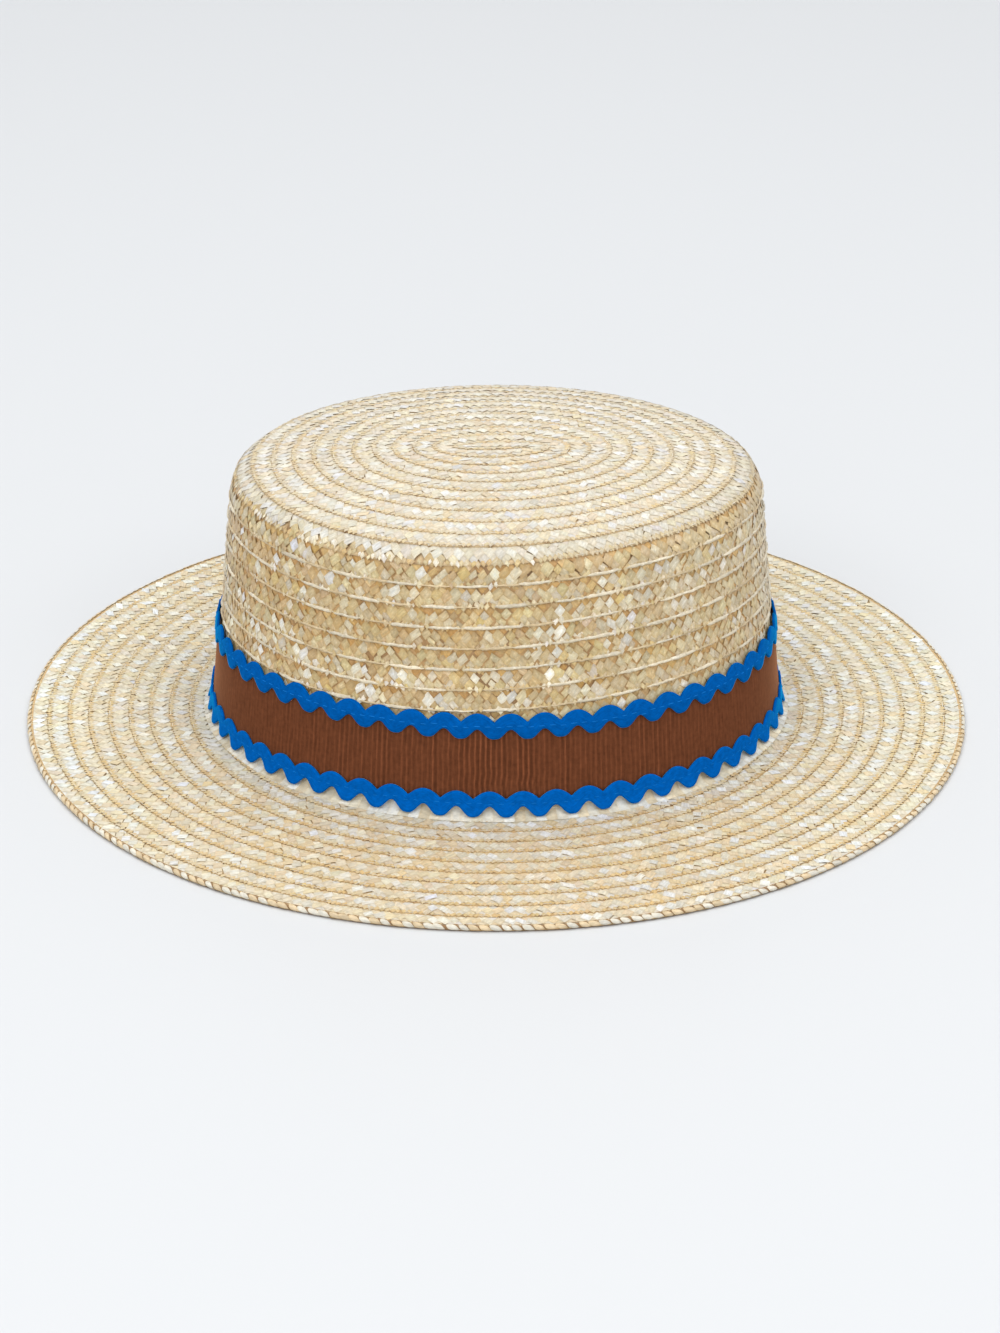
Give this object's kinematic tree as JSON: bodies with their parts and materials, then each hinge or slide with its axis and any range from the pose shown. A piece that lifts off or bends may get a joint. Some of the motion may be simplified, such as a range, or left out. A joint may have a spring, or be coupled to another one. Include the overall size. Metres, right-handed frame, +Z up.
{
  "type": "straw boater hat",
  "caption": "Straw boater hat with an oval crown, a flat round brim, a grosgrain ribbon and zigzag braid along both of its edges.",
  "frame": {"origin": "under the middle of the hat, on the surface that the brim rests on", "axes": "+Z up through the crown, X along the length of the head, Y across it"},
  "size_m": [0.315, 0.315, 0.093],
  "materials": {
    "straw_crown": "plaited wheat straw, satin with glossy flecks",
    "straw_brim": "plaited wheat straw, satin with glossy flecks",
    "ribbon": "ribbed grosgrain, soft sheen",
    "ricrac": "matte woven braid"
  },
  "bodies": {
    "root": {"crown": "straw_crown", "brim": "straw_brim", "ribbon_band": "ribbon", "ricrac_upper": "ricrac", "ricrac_lower": "ricrac"}
  },
  "joints": []
}
